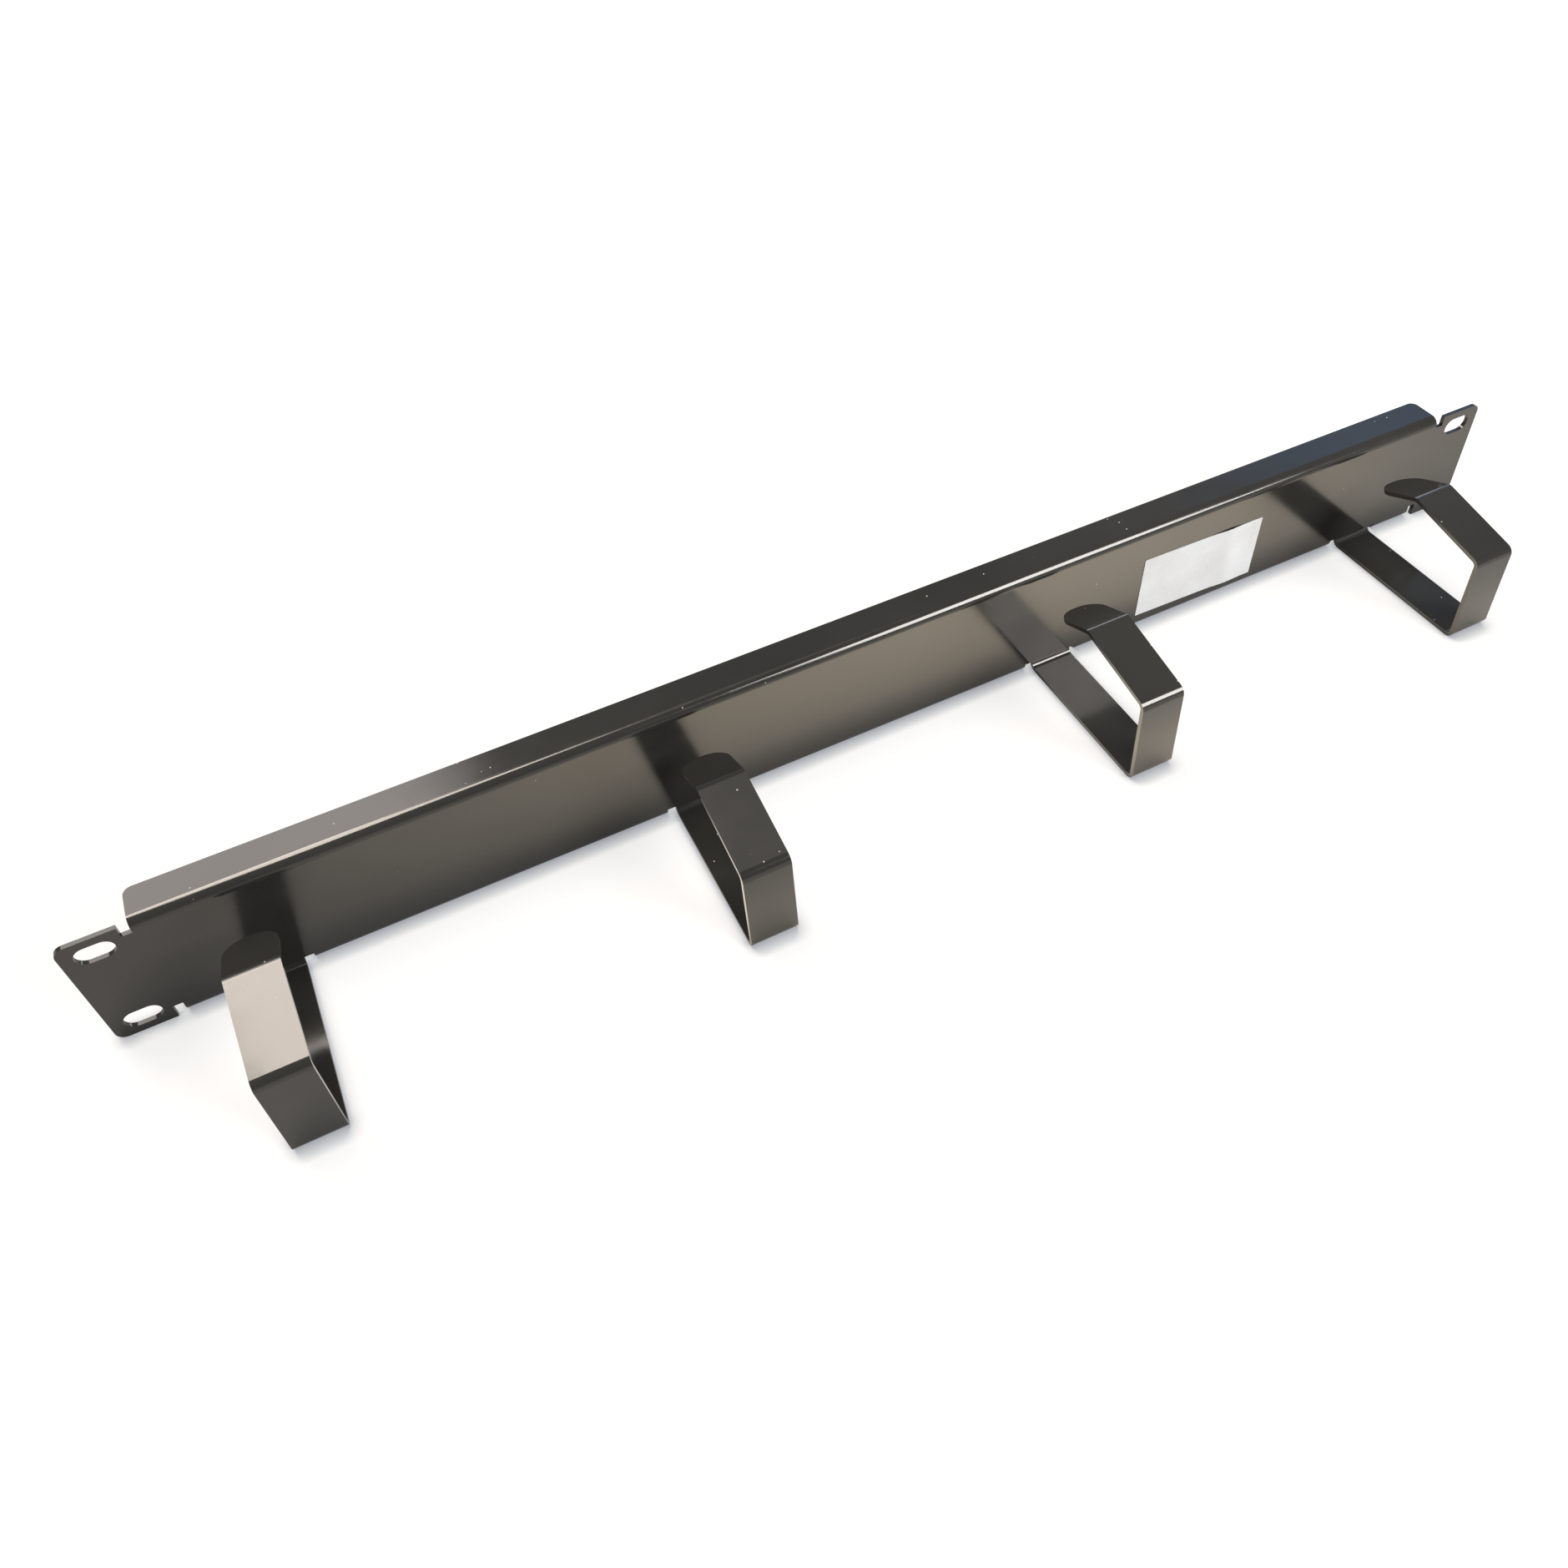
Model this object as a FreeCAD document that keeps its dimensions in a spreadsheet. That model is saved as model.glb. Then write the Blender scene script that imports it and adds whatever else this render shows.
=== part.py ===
import FreeCAD, Part
import Sketcher
import math
import os

# Horizontal cable manager, 1U, for a 19-inch rack.
#
# One steel sheet is cut out and folded.  The faceplate stands upright, its two ears carry the rack slots,
# a flange is folded back along its top and bottom edges, and four strips left on its bottom edge are folded
# forward into open rings.  A paper sticker lies on the front face between the two right-hand rings.
#
# Frame: +X runs along the rack's width, +Y into the rack and +Z up.  The origin is the middle of the
# four-slot pattern on the back of the ears, the face that lies on the rack's rails, so the sheet's
# front face is at Y = -thickness.

# ---------------------------------------------------------------- driving dimensions (mm)

SIZES = [
    # sheet
    ("thickness", 1.4, "sheet with its coat"),
    ("bend_radius", 1.6, "inside radius of every bend"),
    # rack slots, and what lies round their centres: 482.6 x 43.6 over all, 444.5 between the notches
    ("slot_pitch_x", 465.1, "slot centres across the rack"),
    ("slot_pitch_z", 31.75, "slot centres within 1U"),
    ("slot_length", 10.4, "slot along X, over its round ends"),
    ("slot_height", 6.4, "slot along Z"),
    ("end_margin", 8.75, "slot centre to the ear's end"),
    ("notch_margin", 7.5, "slot centre to the ear's relief notches"),
    ("edge_margin", 5.925, "slot centre to the panel's top or bottom edge"),
    ("ear_corner_radius", 3.0, "outer corners of the ears"),
    # flanges
    ("flange_depth", 12.4, "front face to the flanges' back edge"),
    ("flange_corner_radius", 2.5, "free corners of the flanges"),
    # relief notches at the ends of the bends
    ("relief_width", 2.8, "every notch, along X"),
    ("ring_relief_margin", 0.2, "notch beside a ring, past the bend"),
    ("ear_top_relief_margin", 0.7, "notch at an ear's top, past the bend"),
    ("ear_bottom_relief_margin", 1.9, "notch at an ear's bottom, past the bend"),
    # rings: distances are from the faceplate's front face, heights from its bottom edge
    ("ring_count", 4, "rings, evenly spaced"),
    ("ring_inset", 26.05, "end ring's centre to the end of the flanges"),
    ("strip_width", 14.8, "ring's strip"),
    ("ring_reach", 56.4, "to the ring's front, at its foot"),
    ("shoulder_reach", 55.5, "to the corner above the front"),
    ("shoulder_height", 33.1, "of that corner"),
    ("peak_reach", 25.8, "to the tip's bend"),
    ("peak_height", 39.6, "of the tip's bend"),
    ("mouth_gap", 9.2, "tip's end to the faceplate"),
    ("tip_height", 32.2, "of the tip's end"),
    ("tip_flat", 1.2, "straight edge left between the tip's two round corners"),
    # sticker
    ("label_width", 48.8, "sticker along X"),
    ("label_height", 24.8, "sticker along Z"),
    ("label_thickness", 0.15, "paper and glue"),
    ("label_corner_radius", 0.3, "sticker's corners"),
    ("label_inset", 72.2, "sticker's middle to the last ring's centre"),
    ("label_middle_height", 17.6, "sticker's middle above the bottom edge"),
    ("label_tilt", 1.2, "degrees that the sticker was stuck on askew"),
]

TOLERANCE = 0.001  # places closer than this are the same

size = {name: value for name, value, note in SIZES}

doc = FreeCAD.newDocument("HorizontalCableManager")
sheet = doc.addObject("Spreadsheet::Sheet", "Dimensions")
for row, (name, value, note) in enumerate(SIZES, start=1):
    sheet.set("A%d" % row, name)
    sheet.set("B%d" % row, str(value))
    sheet.set("C%d" % row, note)
    sheet.setAlias("B%d" % row, name)
doc.recompute()


# ---------------------------------------------------------------- helpers

def cell(name):
    return "Dimensions." + name


class Span:
    """A length that is a sum of shares of named sizes: its value and its expression."""

    def __init__(self, **shares):
        self.shares = shares
        self.value = sum(share * size[name] for name, share in shares.items())
        self.expression = " + ".join("%g * %s" % (share, cell(name)) for name, share in shares.items())

    def plus(self, **more):
        sums = {name: self.shares.get(name, 0) + more.get(name, 0) for name in {**self.shares, **more}}
        return Span(**sums)

    def times(self, factor):
        return Span(**{name: factor * share for name, share in self.shares.items()})


ZERO = Span()


def originOf(body, role):
    return next(feature for feature in body.Origin.OriginFeatures if feature.Role == role)


def sketchOn(body, role, name, **offsets):
    """A sketch on one of the body's origin planes; offsets bind parts of its AttachmentOffset."""
    sketch = body.newObject("Sketcher::SketchObject", name)
    sketch.AttachmentSupport = [(originOf(body, role), "")]
    sketch.MapMode = "FlatFace"
    for part, expression in offsets.items():
        sketch.setExpression("AttachmentOffset.Base." + part, expression)
    return sketch


def bind(sketch, constraint, expression):
    index = sketch.addConstraint(constraint)
    sketch.setExpression("Constraints[%d]" % index, expression)


def pinAlong(sketch, kind, axis, line, span):
    """Holds the start of a line at a signed distance from the origin along one direction."""
    if span is ZERO:
        sketch.addConstraint(Sketcher.Constraint("PointOnObject", line, 1, axis))
    elif span.value > 0:
        bind(sketch, Sketcher.Constraint(kind, -1, 1, line, 1, span.value), span.expression)
    else:
        flipped = "-(%s)" % span.expression
        bind(sketch, Sketcher.Constraint(kind, line, 1, -1, 1, -span.value), flipped)


def pinPoint(sketch, line, corner):
    horizontalAxis, verticalAxis = -1, -2
    pinAlong(sketch, "DistanceX", verticalAxis, line, corner[0])
    pinAlong(sketch, "DistanceY", horizontalAxis, line, corner[1])


def drawLoop(sketch, points):
    """Closed loop of straight lines, each starting at its point."""
    vectors = [FreeCAD.Vector(across, up, 0) for across, up in points]
    ends = vectors[1:] + vectors[:1]
    lines = [sketch.addGeometry(Part.LineSegment(a, b)) for a, b in zip(vectors, ends)]
    for line, following in zip(lines, lines[1:] + lines[:1]):
        sketch.addConstraint(Sketcher.Constraint("Coincident", line, 2, following, 1))
    return lines


def drawPinnedLoop(sketch, corners):
    """Closed outline whose every corner is held by two dimensions."""
    lines = drawLoop(sketch, [(across.value, up.value) for across, up in corners])
    for line, corner in zip(lines, corners):
        pinPoint(sketch, line, corner)


def inwardOffset(points, distance):
    """The parallel of an open path, to the right of its travel."""
    directions = []
    for (x0, y0), (x1, y1) in zip(points, points[1:]):
        run = math.hypot(x1 - x0, y1 - y0)
        directions.append(((x1 - x0) / run, (y1 - y0) / run))
    shifted = []
    for index, (x, y) in enumerate(points):
        before = directions[max(index - 1, 0)]
        after = directions[min(index, len(directions) - 1)]
        spread = 1 + before[0] * after[0] + before[1] * after[1]
        shifted.append((x + distance * (before[1] + after[1]) / spread,
                        y - distance * (before[0] + after[0]) / spread))
    return shifted


def drawFoldedSection(sketch, corners):
    """Section of a sheet folded along a path: its outer face through the corners, its inner face parallel."""
    outer = [(across.value, up.value) for across, up in corners]
    inner = inwardOffset(outer, size["thickness"])
    lines = drawLoop(sketch, outer + inner[::-1])
    runs = len(corners) - 1
    for line, corner in zip(lines, corners):
        pinPoint(sketch, line, corner)
    for run in range(runs):
        opposite = lines[2 * runs - run]
        sketch.addConstraint(Sketcher.Constraint("Parallel", lines[run], opposite))
        bind(sketch, Sketcher.Constraint("Distance", opposite, 1, lines[run], size["thickness"]),
             cell("thickness"))
    farEnd, nearEnd = lines[runs], lines[2 * runs + 1]
    sketch.addConstraint(Sketcher.Constraint("Perpendicular", lines[runs - 1], farEnd))
    sketch.addConstraint(Sketcher.Constraint("Perpendicular", lines[0], nearEnd))
    return outer, inner


def extrude(body, kind, sketch, name, length, side="One side"):
    feature = body.newObject("PartDesign::" + kind, name)
    feature.Profile = sketch
    feature.SideType = side
    if length is None:
        feature.Type = "ThroughAll"
    else:
        feature.setExpression("Length", length)
    doc.recompute()
    return feature


def repeatAlong(body, feature, name, role, extent, count):
    """Copies of a feature, evenly spaced from the first to the last over the extent."""
    pattern = body.newObject("PartDesign::LinearPattern", name)
    pattern.Originals = [feature]
    pattern.Direction = (originOf(body, role), [""])
    pattern.Mode = "Extent"
    pattern.setExpression("Length", extent)
    pattern.setExpression("Occurrences", count)
    body.Tip = pattern
    doc.recompute()
    return pattern


def roundEdges(body, name, radius, chosen):
    """Rounds the straight edges of the body so far that the test accepts by their two ends."""
    base = body.Tip
    edges = []
    for index, edge in enumerate(base.Shape.Edges, start=1):
        if edge.Curve.TypeId == "Part::GeomLine" and chosen(*[vertex.Point for vertex in edge.Vertexes]):
            edges.append("Edge%d" % index)
    fillet = body.newObject("PartDesign::Fillet", name)
    fillet.Base = (base, edges)
    fillet.setExpression("Radius", radius)
    body.Tip = fillet
    doc.recompute()
    return fillet


def near(a, b):
    return abs(a - b) < TOLERANCE


# ---------------------------------------------------------------- folded panel

panel = doc.addObject("PartDesign::Body", "FoldedPanel")
panel.Label = "folded_panel"

FRONT = Span(thickness=-1)
TOP = Span(slot_pitch_z=0.5, edge_margin=1)
BOTTOM = TOP.times(-1)
EAR_END = Span(slot_pitch_x=0.5, end_margin=1)
NOTCH_OUTSIDE = Span(slot_pitch_x=0.5, notch_margin=-1)
NOTCH_INSIDE = NOTCH_OUTSIDE.plus(relief_width=-1)
LAST_RING = NOTCH_INSIDE.plus(ring_inset=-1)
FIRST_RING = LAST_RING.times(-1)


def ahead(name):
    """A place at the named distance in front of the faceplate."""
    return FRONT.plus(**{name: -1})


def above(*names):
    """A height over the faceplate's bottom edge."""
    return BOTTOM.plus(**{name: 1 for name in names})


def below(*names):
    """A depth under the faceplate's top edge."""
    return TOP.plus(**{name: -1 for name in names})


def drawChannel():
    """Faceplate and flanges between the rails: a channel that is open to the back."""
    flangeEdge = Span(flange_depth=1, thickness=-1)
    section = sketchOn(panel, "YZ_Plane", "ChannelSection")
    corners = drawFoldedSection(section, [
        (flangeEdge, BOTTOM),
        (FRONT, BOTTOM),
        (FRONT, TOP),
        (flangeEdge, TOP),
    ])
    extrude(panel, "Pad", section, "Channel", NOTCH_INSIDE.times(2).expression, "Symmetric")
    return corners


def drawEars():
    """Flat ends of the faceplate, parted from the bends by relief notches."""
    lowNotch = above("bend_radius", "thickness", "ear_bottom_relief_margin")
    highNotch = below("bend_radius", "thickness", "ear_top_relief_margin")
    outline = sketchOn(panel, "XZ_Plane", "EarOutline")
    drawPinnedLoop(outline, [
        (NOTCH_INSIDE, lowNotch),
        (NOTCH_OUTSIDE, lowNotch),
        (NOTCH_OUTSIDE, BOTTOM),
        (EAR_END, BOTTOM),
        (EAR_END, TOP),
        (NOTCH_OUTSIDE, TOP),
        (NOTCH_OUTSIDE, highNotch),
        (NOTCH_INSIDE, highNotch),
    ])
    ear = extrude(panel, "Pad", outline, "Ear", cell("thickness"))
    pair = panel.newObject("PartDesign::Mirrored", "EarPair")
    pair.Originals = [ear]
    pair.MirrorPlane = (originOf(panel, "YZ_Plane"), [""])
    panel.Tip = pair
    doc.recompute()


def drawRoundedSlot(sketch, middle, halfReach, radius):
    """Two straight sides joined by half circles; returns the left and the right half circle."""
    leftCentre = middle - FreeCAD.Vector(halfReach, 0, 0)
    rightCentre = middle + FreeCAD.Vector(halfReach, 0, 0)
    rise = FreeCAD.Vector(0, radius, 0)
    normal = FreeCAD.Vector(0, 0, 1)
    quarter = math.pi / 2
    low = sketch.addGeometry(Part.LineSegment(leftCentre - rise, rightCentre - rise))
    right = sketch.addGeometry(Part.ArcOfCircle(Part.Circle(rightCentre, normal, radius), -quarter, quarter))
    high = sketch.addGeometry(Part.LineSegment(rightCentre + rise, leftCentre + rise))
    left = sketch.addGeometry(Part.ArcOfCircle(Part.Circle(leftCentre, normal, radius), quarter, 3 * quarter))
    for first, second in ((low, right), (right, high), (high, left), (left, low)):
        sketch.addConstraint(Sketcher.Constraint("Tangent", first, 2, second, 1))
    sketch.addConstraint(Sketcher.Constraint("Horizontal", low))
    return left, right


def cutRackSlots():
    """Four slots with round ends: one is cut in the left ear and repeated across and upwards."""
    radius = Span(slot_height=0.5)
    halfReach = Span(slot_length=0.5, slot_height=-0.5)
    leftCentre = Span(slot_pitch_x=0.5, slot_length=0.5, slot_height=-0.5)
    rightCentre = Span(slot_pitch_x=0.5, slot_length=-0.5, slot_height=0.5)
    drop = Span(slot_pitch_z=0.5)
    middle = FreeCAD.Vector(-size["slot_pitch_x"] / 2, -drop.value, 0)
    sketch = sketchOn(panel, "XZ_Plane", "SlotOutline")
    left, right = drawRoundedSlot(sketch, middle, halfReach.value, radius.value)
    bind(sketch, Sketcher.Constraint("Radius", right, radius.value), radius.expression)
    bind(sketch, Sketcher.Constraint("DistanceX", left, 3, -1, 1, leftCentre.value), leftCentre.expression)
    bind(sketch, Sketcher.Constraint("DistanceX", right, 3, -1, 1, rightCentre.value), rightCentre.expression)
    bind(sketch, Sketcher.Constraint("DistanceY", right, 3, -1, 1, drop.value), drop.expression)
    slot = extrude(panel, "Pocket", sketch, "RackSlot", None, "Symmetric")
    pattern = repeatAlong(panel, slot, "RackSlots", "X_Axis", cell("slot_pitch_x"), "2")
    pattern.Direction2 = (originOf(panel, "Z_Axis"), [""])
    pattern.Mode2 = "Extent"
    pattern.setExpression("Length2", cell("slot_pitch_z"))
    pattern.Occurrences2 = 2
    doc.recompute()


def repeatForRings(feature, name):
    repeatAlong(panel, feature, name, "X_Axis", LAST_RING.times(2).expression, cell("ring_count"))


def cutRingGaps():
    """The bottom bend and flange stop short of each ring: its strip's width and a notch on both sides."""
    right = Span(strip_width=0.5, relief_width=1)
    left = right.times(-1)
    roof = above("bend_radius", "thickness", "ring_relief_margin")
    outline = sketchOn(panel, "XZ_Plane", "RingGapOutline", x=FIRST_RING.expression)
    drawPinnedLoop(outline, [(left, BOTTOM), (right, BOTTOM), (right, roof), (left, roof)])
    gap = extrude(panel, "Pocket", outline, "RingGap", None, "Symmetric")
    repeatForRings(gap, "RingGaps")


def drawRings():
    """Each strip runs down off the faceplate, forward, up, back over the top and down to its free tip."""
    root = above("bend_radius", "thickness", "ring_relief_margin")
    section = sketchOn(panel, "YZ_Plane", "RingSection", z=FIRST_RING.expression)
    corners = drawFoldedSection(section, [
        (ZERO, root),
        (ZERO, BOTTOM),
        (ahead("ring_reach"), BOTTOM),
        (ahead("shoulder_reach"), above("shoulder_height")),
        (ahead("peak_reach"), above("peak_height")),
        (ahead("mouth_gap"), above("tip_height")),
    ])
    ring = extrude(panel, "Pad", section, "Ring", cell("strip_width"), "Symmetric")
    repeatForRings(ring, "Rings")
    return corners


def roundBends(channel, ring):
    """Every fold keeps the same inside radius and the same thickness round the bend."""
    bodyEnd = NOTCH_INSIDE.value + TOLERANCE
    for name, face, radius in (
        ("OuterBends", 0, cell("bend_radius") + " + " + cell("thickness")),
        ("InnerBends", 1, cell("bend_radius")),
    ):
        corners = channel[face][1:-1] + ring[face][1:-1]

        def isBend(start, end):
            alongX = near(start.y, end.y) and near(start.z, end.z) and abs(start.x) < bodyEnd
            return alongX and any(near(start.y, y) and near(start.z, z) for y, z in corners)

        roundEdges(panel, name, radius, isBend)


def roundCorners(ring):
    """Free corners of the tips, the flanges and the ears."""
    tipEnd = (ring[0][-1], ring[1][-1])
    back = size["flange_depth"] - size["thickness"]

    def atTipEnd(point):
        return any(near(point.y, y) and near(point.z, z) for y, z in tipEnd)

    def isTip(start, end):
        return near(start.x, end.x) and atTipEnd(start) and atTipEnd(end)

    def isFlange(start, end):
        return near(start.y, back) and near(end.y, back) and near(start.x, end.x)

    def isEar(start, end):
        alongY = near(start.x, end.x) and near(start.z, end.z)
        return alongY and near(abs(start.x), EAR_END.value) and near(abs(start.z), TOP.value)

    roundEdges(panel, "TipCorners", Span(strip_width=0.5, tip_flat=-0.5).expression, isTip)
    roundEdges(panel, "FlangeCorners", cell("flange_corner_radius"), isFlange)
    roundEdges(panel, "EarCorners", cell("ear_corner_radius"), isEar)


channelCorners = drawChannel()
drawEars()
cutRackSlots()
cutRingGaps()
ringCorners = drawRings()
roundBends(channelCorners, ringCorners)
roundCorners(ringCorners)


# ---------------------------------------------------------------- paper label

label = doc.addObject("PartDesign::Body", "PaperLabel")
label.Label = "paper_label"


def drawLabel():
    """A sticker lying on the front face slightly askew, its corners barely rounded."""
    left, right = Span(label_width=-0.5), Span(label_width=0.5)
    low, high = Span(label_height=-0.5), Span(label_height=0.5)
    middleX = LAST_RING.plus(label_inset=-1)
    middleZ = above("label_middle_height")
    outline = sketchOn(label, "XZ_Plane", "LabelOutline", x=middleX.expression, y=middleZ.expression,
                       z=cell("thickness"))
    outline.setExpression("AttachmentOffset.Rotation.Angle", "-" + cell("label_tilt"))
    drawPinnedLoop(outline, [(left, low), (right, low), (right, high), (left, high)])
    extrude(label, "Pad", outline, "Sticker", cell("label_thickness"))
    roundEdges(label, "StickerCorners", cell("label_corner_radius"),
               lambda start, end: near(start.x, end.x) and near(start.z, end.z))


drawLabel()


# ---------------------------------------------------------------- checks and files

for item in doc.Objects:
    if "Invalid" in item.State or "Error" in item.State:
        raise RuntimeError("%s failed: %s" % (item.Name, item.State))

os.makedirs("parts", exist_ok=True)
for body in (panel, label):
    shape = body.Shape
    if shape.isNull() or not shape.isValid() or len(shape.Solids) != 1:
        raise RuntimeError("%s is not one valid solid" % body.Label)
    shape.exportStep("parts/%s.step" % body.Label)
    print("%s: %.1f mm3, %d faces, %s" % (body.Label, shape.Volume, len(shape.Faces), shape.BoundBox))
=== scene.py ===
import math

import bmesh
import bpy
from mathutils import Matrix, Vector


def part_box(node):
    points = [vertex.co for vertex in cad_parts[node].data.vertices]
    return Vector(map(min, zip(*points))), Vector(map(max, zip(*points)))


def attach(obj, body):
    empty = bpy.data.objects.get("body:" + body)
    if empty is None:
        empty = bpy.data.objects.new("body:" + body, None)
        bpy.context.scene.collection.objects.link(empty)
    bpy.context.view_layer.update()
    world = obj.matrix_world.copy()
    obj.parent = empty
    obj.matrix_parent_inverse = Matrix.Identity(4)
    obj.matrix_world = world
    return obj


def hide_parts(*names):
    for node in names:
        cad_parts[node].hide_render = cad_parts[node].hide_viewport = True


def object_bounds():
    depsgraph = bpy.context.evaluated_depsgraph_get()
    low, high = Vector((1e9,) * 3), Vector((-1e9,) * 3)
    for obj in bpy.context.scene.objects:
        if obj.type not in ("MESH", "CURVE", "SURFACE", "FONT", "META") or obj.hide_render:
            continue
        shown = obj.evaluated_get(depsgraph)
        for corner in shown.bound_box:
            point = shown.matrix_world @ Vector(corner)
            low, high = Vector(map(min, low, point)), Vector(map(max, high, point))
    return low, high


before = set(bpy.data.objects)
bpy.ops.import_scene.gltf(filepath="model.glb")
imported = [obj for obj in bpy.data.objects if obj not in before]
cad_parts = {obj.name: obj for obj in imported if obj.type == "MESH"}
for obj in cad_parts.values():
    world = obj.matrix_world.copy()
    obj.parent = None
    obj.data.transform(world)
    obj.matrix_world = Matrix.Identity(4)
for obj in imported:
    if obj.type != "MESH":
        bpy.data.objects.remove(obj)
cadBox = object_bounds()
scene = bpy.context.scene
mm = 0.001
print("stage: the packed frame is loaded")


def colour(hexCode):  # sRGB hex to the linear values that the shaders use
    parts = [int(hexCode[i:i + 2], 16) / 255 for i in (1, 3, 5)]
    return [c / 12.92 if c <= 0.04045 else ((c + 0.055) / 1.055) ** 2.4 for c in parts] + [1.0]


def newMaterial(name):
    material = bpy.data.materials.new(name)
    material.use_nodes = True
    material.node_tree.nodes.clear()
    return material, material.node_tree


def addNode(tree, kind, settings=None, inputs=None, links=None):
    node = tree.nodes.new("ShaderNode" + kind)
    for key, value in (settings or {}).items():
        setattr(node, key, value)
    for key, value in (inputs or {}).items():
        node.inputs[key].default_value = value
    for key, source in (links or {}).items():
        tree.links.new(source, node.inputs[key])
    return node


def addObject(name, bm, material):
    mesh = bpy.data.meshes.new(name)
    bm.to_mesh(mesh)
    bm.free()
    mesh.materials.append(material)
    thing = bpy.data.objects.new(name, mesh)
    scene.collection.objects.link(thing)
    return thing


# camera: above the left half, close in front, so the panel runs away to the right

lens = {
    "place": (-0.13926, -0.25935, 0.30589),  # metres
    "turn": (44.504, 2.950, -26.042),        # degrees
    "sensor": 36,                            # mm wide
    "focal": 30.68,                          # mm
    "shift": (-0.0065, -0.0737),
    "clip": (0.01, 50),                      # metres
}


def makeCamera():
    data = bpy.data.cameras.new("camera")
    data.sensor_width = lens["sensor"]
    data.lens = lens["focal"]
    data.shift_x, data.shift_y = lens["shift"]
    data.clip_start, data.clip_end = lens["clip"]
    camera = bpy.data.objects.new("camera", data)
    camera.location = lens["place"]
    camera.rotation_euler = [math.radians(angle) for angle in lens["turn"]]
    scene.collection.objects.link(camera)
    scene.camera = camera


makeCamera()
print("stage: camera")


# Folded sheet: gloss black powder coat, baked on.  The powder melts to a smooth, faintly rippled skin that
# mirrors the room dimly and a little softly, over a black that leans to brown.

coat = {
    "black": ("#292825", "#302f2c"),  # where the coat lies thick and thin
    "patch": 60 * mm,                 # how far apart those patches lie
    "patchBlend": (0.35, 0.65),       # noise values between which one black turns into the other
    "roughness": (0.10, 0.17),        # clean and handled
    "handled": 18 * mm,               # size of the handled patches
    "handledBlend": (0.35, 0.7),
    "ior": 1.6,
    "sheen": "#fffaf1",               # what it mirrors comes back slightly warm
    "ripple": 1.4 * mm,               # orange peel, from wave to wave
    "rippleDepth": 0.003 * mm,
    "dust": "#b9b4a8",
    "dustRoughness": 0.8,
    "dustSpacing": 2.6 * mm,
    "dustSize": 0.28 * mm,            # coarser than real dust, which would be too fine to see
    "dustCore": 0.6,                  # share of a speck inside its soft edge
    "dustSettles": (1.0, 0.86),       # share of the specks left out, on what faces down and up
    "dustSlope": (-0.1, 1.0),         # how far up a face looks where those two shares hold
}


def makeCoat():
    material, tree = newMaterial("gloss_black_powder_coat")
    place = addNode(tree, "TexCoord").outputs["Object"]

    patch = addNode(tree, "TexNoise", inputs={"Scale": 1 / coat["patch"], "Detail": 3.0},
                    links={"Vector": place})
    body = addNode(tree, "ValToRGB", links={"Fac": patch.outputs["Fac"]})
    for stop, where, black in zip(body.color_ramp.elements, coat["patchBlend"], coat["black"]):
        stop.position = where
        stop.color = colour(black)

    # hands leave the gloss a little softer in patches
    handled = addNode(tree, "TexNoise",
                      inputs={"Scale": 1 / coat["handled"], "Detail": 5.0, "Roughness": 0.6},
                      links={"Vector": place})
    start, end = coat["handledBlend"]
    clean, touched = coat["roughness"]
    skin = addNode(tree, "MapRange",
                   inputs={"From Min": start, "From Max": end, "To Min": clean, "To Max": touched},
                   links={"Value": handled.outputs["Fac"]})

    # dust: one speck in a cell here and there, mostly on what faces up
    cell = addNode(tree, "TexVoronoi", inputs={"Scale": 1 / coat["dustSpacing"]}, links={"Vector": place})
    edge = coat["dustSize"] / coat["dustSpacing"]
    speck = addNode(tree, "MapRange", {"interpolation_type": "SMOOTHSTEP"},
                    {"From Min": coat["dustCore"] * edge, "From Max": edge, "To Min": 1.0, "To Max": 0.0},
                    {"Value": cell.outputs["Distance"]})
    chance = addNode(tree, "SeparateColor", links={"Color": cell.outputs["Color"]})
    normal = addNode(tree, "NewGeometry").outputs["Normal"]
    facing = addNode(tree, "SeparateXYZ", links={"Vector": normal})
    start, end = coat["dustSlope"]
    down, up = coat["dustSettles"]
    leftOut = addNode(tree, "MapRange",
                      inputs={"From Min": start, "From Max": end, "To Min": down, "To Max": up},
                      links={"Value": facing.outputs["Z"]})
    lies = addNode(tree, "Math", {"operation": "GREATER_THAN"},
                   links={0: chance.outputs["Red"], 1: leftOut.outputs["Result"]})
    dust = addNode(tree, "Math", {"operation": "MULTIPLY"},
                   links={0: speck.outputs["Result"], 1: lies.outputs["Value"]})
    tone = addNode(tree, "Mix", {"data_type": "RGBA"}, {"B": colour(coat["dust"])},
                   {"Factor": dust.outputs["Value"], "A": body.outputs["Color"]})
    roughness = addNode(tree, "Mix", {"data_type": "FLOAT"}, {"B": coat["dustRoughness"]},
                        {"Factor": dust.outputs["Value"], "A": skin.outputs["Result"]})

    peel = addNode(tree, "TexNoise", inputs={"Scale": 1 / coat["ripple"], "Detail": 1.0},
                   links={"Vector": place})
    ripple = addNode(tree, "Bump", inputs={"Distance": coat["rippleDepth"]},
                     links={"Height": peel.outputs["Fac"]})
    shader = addNode(tree, "BsdfPrincipled",
                     inputs={"IOR": coat["ior"], "Specular Tint": colour(coat["sheen"])},
                     links={"Base Color": tone.outputs["Result"], "Roughness": roughness.outputs["Result"],
                            "Normal": ripple.outputs["Normal"]})
    addNode(tree, "OutputMaterial", links={"Surface": shader.outputs["BSDF"]})
    return material


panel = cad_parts["folded_panel"]
panel.data.materials.clear()
panel.data.materials.append(makeCoat())
print("stage: powder coat on the folded sheet")


# Label: plain uncoated paper, matt and very slightly mottled, stuck on by hand.  It went on askew and has a
# ripple near its right end, where it has lifted from the sheet.

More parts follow.
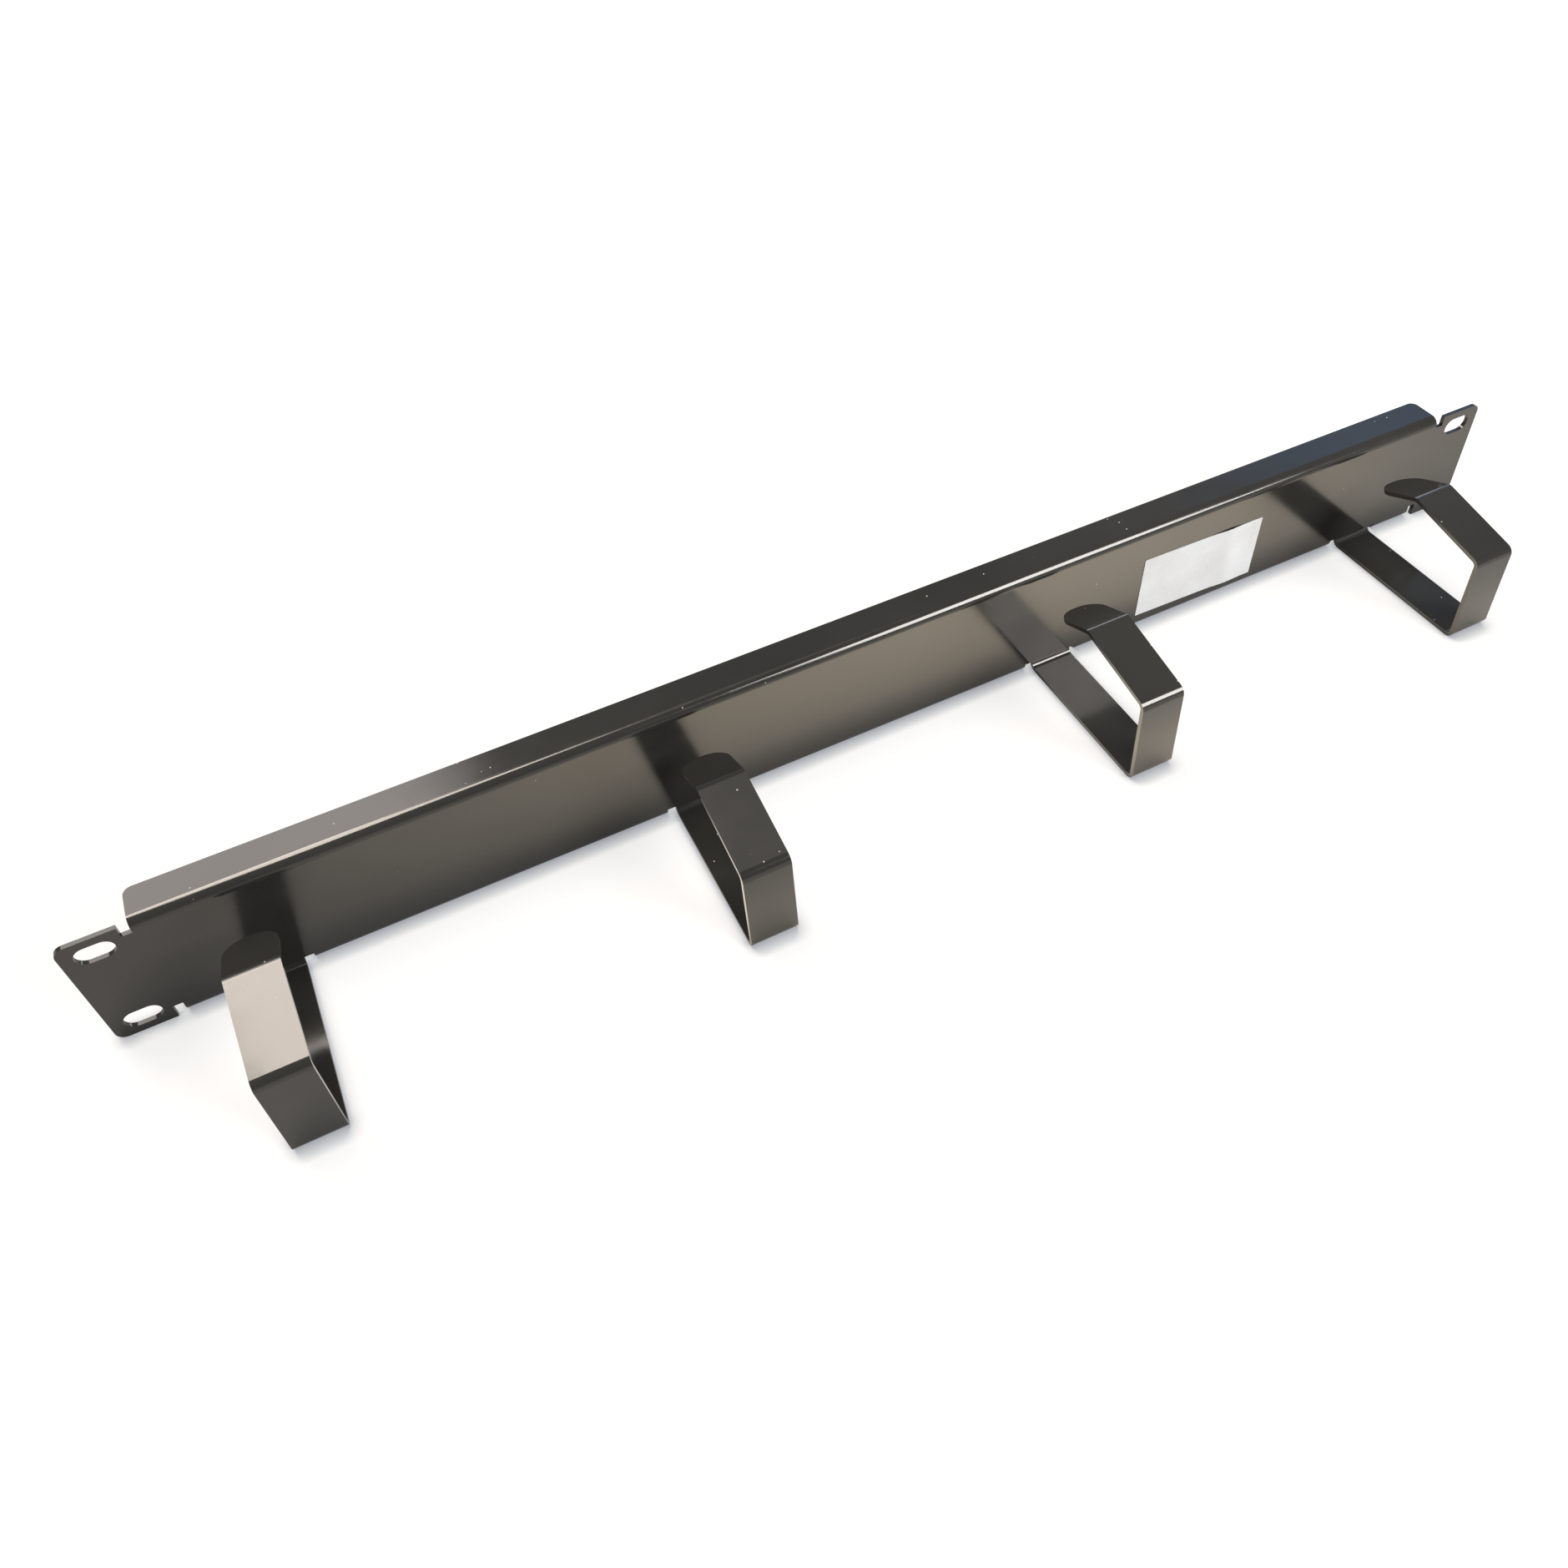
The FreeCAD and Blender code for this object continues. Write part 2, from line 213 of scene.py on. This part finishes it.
label = {
    "size": (48.8 * mm, 24.8 * mm),
    "thick": 0.15 * mm,
    "askew": 1.2,            # degrees
    "corner": 0.3 * mm,
    "cornerSegments": 3,
    "grid": (60, 16),        # faces along and up the label, fine enough for the ripple
    "ripple": 0.65 * mm,     # how far it stands off the sheet
    "rippleAt": 12 * mm,     # to the right of the middle
    "rippleWide": 5 * mm,
    "rippleLean": 0.12,      # how far it shifts sideways for each step up
    "rippleDrop": 0.2,       # half the share of its height that it loses at the long edges
    "white": ("#e4e3e1", "#efefee"),
    "whiteBlend": (0.35, 0.6),
    "roughness": 0.85,
    "fibre": 0.9 * mm,       # clumps of fibre, coarser than real ones, which would be too fine to see
    "fibreRelief": 0.02 * mm,
    "fibreStrength": 0.3,
    "smudge": 14 * mm,
    "smudgeShare": 0.6,      # of the mottling, and the rest is fibre
}


def makePaper():
    material, tree = newMaterial("plain_uncoated_paper")
    place = addNode(tree, "TexCoord").outputs["Object"]
    fibre = addNode(tree, "TexNoise", inputs={"Scale": 1 / label["fibre"], "Detail": 4.0},
                    links={"Vector": place})
    smudge = addNode(tree, "TexNoise", inputs={"Scale": 1 / label["smudge"], "Detail": 2.0},
                     links={"Vector": place})
    mottle = addNode(tree, "Mix", {"data_type": "FLOAT"}, {"Factor": label["smudgeShare"]},
                     {"A": fibre.outputs["Fac"], "B": smudge.outputs["Fac"]})
    tone = addNode(tree, "ValToRGB", links={"Fac": mottle.outputs["Result"]})
    for stop, where, white in zip(tone.color_ramp.elements, label["whiteBlend"], label["white"]):
        stop.position = where
        stop.color = colour(white)
    relief = addNode(tree, "Bump",
                     inputs={"Strength": label["fibreStrength"], "Distance": label["fibreRelief"]},
                     links={"Height": fibre.outputs["Fac"]})
    shader = addNode(tree, "BsdfPrincipled", inputs={"Roughness": label["roughness"]},
                     links={"Base Color": tone.outputs["Color"], "Normal": relief.outputs["Normal"]})
    addNode(tree, "OutputMaterial", links={"Surface": shader.outputs["BSDF"]})
    return material


def makeLabel():
    low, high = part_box("paper_label")
    middle = (Vector(low) + Vector(high)) / 2
    wide, tall = label["size"]
    along, upright = label["grid"]
    bm = bmesh.new()
    bmesh.ops.create_grid(bm, x_segments=along, y_segments=upright, size=0.5)
    bmesh.ops.scale(bm, vec=(wide, tall, 1), verts=bm.verts)
    corners = [v for v in bm.verts if len(v.link_edges) == 2]
    bmesh.ops.bevel(bm, geom=corners, offset=label["corner"], offset_type="OFFSET",
                    segments=label["cornerSegments"], profile=0.5, affect="VERTICES", material=-1)

    # the ripple leans a little and is lower towards the long edges
    for v in bm.verts:
        across = (v.co.x - label["rippleAt"] + label["rippleLean"] * v.co.y) / label["rippleWide"]
        full = 1 - label["rippleDrop"] * (1 - math.cos(2 * math.pi * v.co.y / tall))
        v.co.z += label["ripple"] * math.exp(-across * across) * full

    # lying flat so far: give it its thickness, turn it askew and stand it up against the sheet
    bmesh.ops.solidify(bm, geom=bm.faces[:], thickness=label["thick"])
    for angle, axis in ((-label["askew"], "Z"), (90, "X")):
        turn = Matrix.Rotation(math.radians(angle), 3, axis)
        bmesh.ops.rotate(bm, cent=(0, 0, 0), matrix=turn, verts=bm.verts)
    bmesh.ops.recalc_face_normals(bm, faces=bm.faces)
    back = max(v.co.y for v in bm.verts)
    bmesh.ops.translate(bm, vec=(middle.x, high[1] - back, middle.z), verts=bm.verts)
    piece = addObject("paper_label_stuck_on", bm, makePaper())
    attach(piece, "root")
    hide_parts("paper_label")


makeLabel()
print("stage: paper label")


# studio: a pale floor swept up into a low wall, a dim room above it, and soft lights

studio = {
    "radius": 3.5,            # metres
    "wall": 0.9,
    "sweep": 0.6,             # radius of the curve from floor to wall
    "segments": (96, 16),     # round the wall and up the curve
    "floor": "#8e8b85",
    "lift": (0.74, 0.90),     # how much brighter the floor shows than it is lit, at the object and around it
    "liftReach": (0.25, 0.9),  # metres from the middle
    "fade": 0.6,              # share of the lift that is left at the wall
    "fadeReach": (1.3, 2.6),
    "mirrored": 0.6,          # share of the lift that the gloss shows
    "paintedShade": "#aeb2b9",       # colour of the painted contact shadow on the floor, next to whatever stands on it
    "shadeReach": (5 * mm, 15 * mm),  # reach of that painted shadow, as the camera sees it and, wider, in the gloss
    "shadeHalf": 0.5,         # a corner that hides half of the sky has the full painted shade
    "shadeSamples": 4,
    "room": 0.18,             # brightness of what is above the wall, where 1 is white
    "roomTint": "#f3f7ff",
    "paintedPool": (0.06, -0.041, cadBox[0].z),  # middle of a painted pool of light before the panel: a warm glow on the floor, seen only in the gloss, that paints a brighter reflection into the middle of the panel
    "poolReach": (0.31, 0.057, 1.0),
    "poolLift": 2.1,
    "poolTint": "#ffeed4",
}


def makeFloor():
    material, tree = newMaterial("pale_studio_floor")
    place = addNode(tree, "TexCoord").outputs["Object"]
    out = addNode(tree, "VectorMath", {"operation": "LENGTH"}, links={0: place}).outputs["Value"]
    path = addNode(tree, "LightPath")
    seen = path.outputs["Is Camera Ray"]
    gloss = addNode(tree, "Math", {"operation": "MAXIMUM"},
                    links={0: path.outputs["Is Glossy Ray"], 1: path.outputs["Is Transmission Ray"]})
    shown = addNode(tree, "Math", {"operation": "MULTIPLY_ADD"}, {1: studio["mirrored"]},
                    {0: gloss.outputs["Value"], 2: seen})

    # painted contact shadow: ambient occlusion darkens the floor's colour, its glow and the warm pool close
    # to whatever stands on it, over a wider reach in the gloss
    direct, inGloss = studio["shadeReach"]
    reach = addNode(tree, "MapRange", inputs={"To Min": inGloss, "To Max": direct}, links={"Value": seen})
    contact = addNode(tree, "AmbientOcclusion", {"samples": studio["shadeSamples"]},
                      links={"Distance": reach.outputs["Result"]})
    clear = addNode(tree, "MapRange", inputs={"From Min": studio["shadeHalf"]},
                    links={"Value": contact.outputs["AO"]})
    paintedShade = addNode(tree, "Mix", {"data_type": "RGBA"}, {"A": colour(studio["paintedShade"]), "B": (1, 1, 1, 1)},
                    {"Factor": clear.outputs["Result"]})

    # the lift, which is less at the object and fades towards the wall
    lift = shown.outputs["Value"]
    near, far = studio["lift"]
    for (start, end), low, high in ((studio["liftReach"], near, far),
                                    (studio["fadeReach"], 1.0, studio["fade"])):
        band = addNode(tree, "MapRange", {"interpolation_type": "SMOOTHSTEP"},
                       {"From Min": start, "From Max": end, "To Min": low, "To Max": high},
                       {"Value": out})
        lift = addNode(tree, "Math", {"operation": "MULTIPLY"},
                       links={0: band.outputs["Result"], 1: lift}).outputs["Value"]
    # the glow carries the painted contact shadow too
    glow = addNode(tree, "Emission", links={"Color": paintedShade.outputs["Result"], "Strength": lift})

    # painted pool of light: a warm glow on the floor, seen only in the gloss, so the panel's face shows a
    # brighter painted reflection in its middle; the painted contact shadow dims it as well
    inPool = addNode(tree, "Mapping", {"vector_type": "TEXTURE"},
                     {"Location": studio["paintedPool"], "Scale": studio["poolReach"]}, {"Vector": place})
    away = addNode(tree, "VectorMath", {"operation": "LENGTH"}, links={0: inPool.outputs["Vector"]})
    paintedPool = addNode(tree, "MapRange", {"interpolation_type": "SMOOTHSTEP"},
                   {"To Min": studio["poolLift"], "To Max": 0.0},
                   {"Value": away.outputs["Value"]}).outputs["Result"]
    for share in (gloss.outputs["Value"], clear.outputs["Result"]):
        paintedPool = addNode(tree, "Math", {"operation": "MULTIPLY"}, links={0: paintedPool, 1: share}).outputs["Value"]
    paintedPoolGlow = addNode(tree, "Emission", inputs={"Color": colour(studio["poolTint"])},
                   links={"Strength": paintedPool})

    # the floor's own colour, with the painted contact shadow multiplied in
    tone = addNode(tree, "Mix", {"data_type": "RGBA", "blend_type": "MULTIPLY"},
                   {"Factor": 1.0, "B": colour(studio["floor"])}, {"A": paintedShade.outputs["Result"]})
    matt = addNode(tree, "BsdfDiffuse", links={"Color": tone.outputs["Result"]})
    lit = matt.outputs["BSDF"]
    for light in (glow, paintedPoolGlow):
        lit = addNode(tree, "AddShader", links={0: lit, 1: light.outputs["Emission"]}).outputs["Shader"]
    addNode(tree, "OutputMaterial", links={"Surface": lit})

    # a round tub: its lid comes off, and its bottom edge is rounded into the sweep
    around, upward = studio["segments"]
    bm = bmesh.new()
    bmesh.ops.create_cone(bm, cap_ends=True, segments=around, radius1=studio["radius"],
                          radius2=studio["radius"], depth=studio["wall"])
    bmesh.ops.translate(bm, vec=(0, 0, cadBox[0].z + studio["wall"] / 2), verts=bm.verts)
    lid = max(bm.faces, key=lambda face: face.calc_center_median().z)
    bmesh.ops.delete(bm, geom=[lid], context="FACES_ONLY")
    ground = min(bm.faces, key=lambda face: face.calc_center_median().z)
    bmesh.ops.bevel(bm, geom=ground.edges[:], offset=studio["sweep"], offset_type="OFFSET",
                    segments=upward, profile=0.5, affect="EDGES", material=-1)
    bmesh.ops.reverse_faces(bm, faces=bm.faces)
    for face in bm.faces:
        face.smooth = len(face.verts) == 4
    addObject("studio_floor", bm, material)


def makeRoom():
    world = bpy.data.worlds.new("room")
    world.use_nodes = True
    background = world.node_tree.nodes["Background"]
    background.inputs["Color"].default_value = colour(studio["roomTint"])
    background.inputs["Strength"].default_value = studio["room"]
    scene.world = world


lamps = {  # place and aim in metres, width and height in metres, brightness where it is seen mirrored, colour
    "overhead_left": ((-0.31, 0.46, 1.58), (-0.12, 0.10, 0.0), (0.57, 1.00), 11.8, "#fff7f2"),
    "overhead_middle": ((0.30, 0.35, 1.7), (0.0, 0.0, 0.0), (0.50, 0.80), 0.45, "#ffffff"),
    "overhead_back": ((-0.57, 1.35, 1.6), (-0.15, 0.0, 0.0), (1.0, 0.9), 3.6, "#fff9fb"),
    "front_right": ((0.71, -1.08, 0.87), (0.05, 0.0, 0.0), (0.62, 0.8), 16.0, "#fbfcff"),
    "back_right": ((1.47, 1.09, 1.0), (0.15, 0.0, 0.0), (0.72, 0.46), 0.6, "#5fb0ff"),
    "low_back": ((1.17, 1.48, 0.65), (0.15, 0.0, 0.0), (0.8, 0.25), 5.0, "#dfe8ff"),
}


def makeLamps():
    for name, (place, aim, (wide, tall), brightness, tint) in lamps.items():
        data = bpy.data.lights.new(name, "AREA")
        data.shape = "RECTANGLE"
        data.size = wide
        data.size_y = tall
        data.energy = brightness * math.pi * wide * tall
        data.color = colour(tint)[:3]
        lamp = bpy.data.objects.new(name, data)
        lamp.location = place
        lamp.rotation_euler = (Vector(place) - Vector(aim)).to_track_quat("Z", "Y").to_euler()
        scene.collection.objects.link(lamp)


makeFloor()
makeRoom()
makeLamps()
scene.view_settings.view_transform = "Standard"
print("stage: floor, room and lights")
